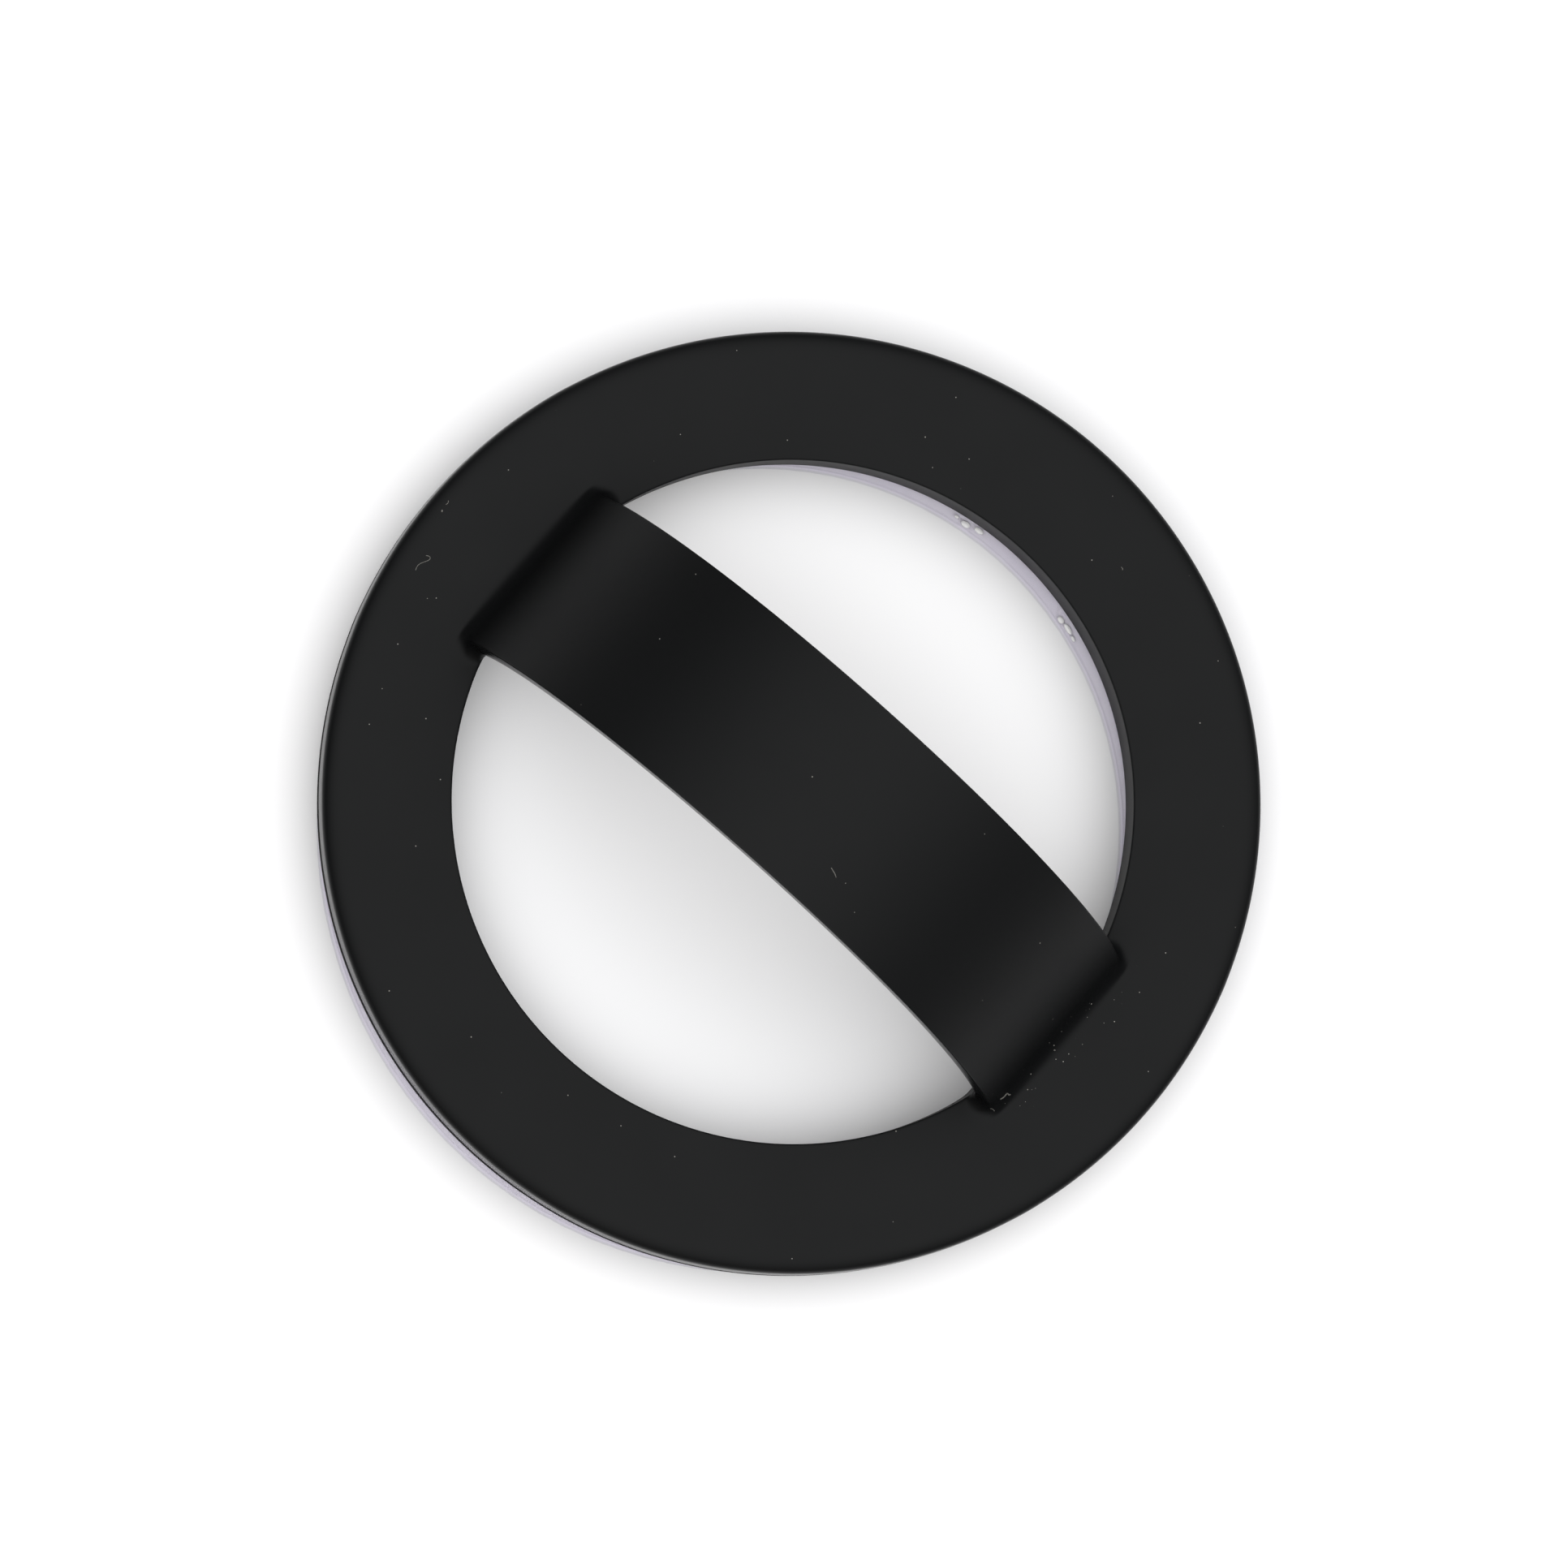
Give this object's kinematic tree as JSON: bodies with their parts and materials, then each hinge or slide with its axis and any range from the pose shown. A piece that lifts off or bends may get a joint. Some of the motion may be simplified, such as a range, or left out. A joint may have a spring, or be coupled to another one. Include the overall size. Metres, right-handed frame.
{
  "type": "magnetic phone grip",
  "caption": "Soft black ring with an arched finger strap across its hole and a closed ring of arc magnets inside, held to the back of a phone.",
  "frame": {"origin": "on the ring's axis, on the surface that the grip lies on", "axes": "+Z away from the phone, towards the strap; +X along the strap"},
  "size_m": [0.058, 0.0585, 0.0228],
  "materials": {
    "silicone": "satin moulded silicone, black",
    "steel": "bare cold-rolled sheet",
    "nickel": "bright nickel plate",
    "cover_plastic": "fine matte, black",
    "gel": "clear tacky gel",
    "film": "clear gloss film, faint lavender"
  },
  "bodies": {
    "root": {"grip_body": "silicone", "shunt_ring": "steel", "base_cover": "cover_plastic", "adhesive_ring": "gel", "release_liner": "film", "magnet_01": "nickel", "magnet_02": "nickel", "magnet_03": "nickel", "magnet_04": "nickel", "magnet_05": "nickel", "magnet_06": "nickel", "magnet_07": "nickel", "magnet_08": "nickel", "magnet_09": "nickel", "magnet_10": "nickel", "magnet_11": "nickel", "magnet_12": "nickel", "magnet_13": "nickel", "magnet_14": "nickel", "magnet_15": "nickel", "magnet_16": "nickel", "magnet_17": "nickel", "magnet_18": "nickel"}
  },
  "joints": []
}
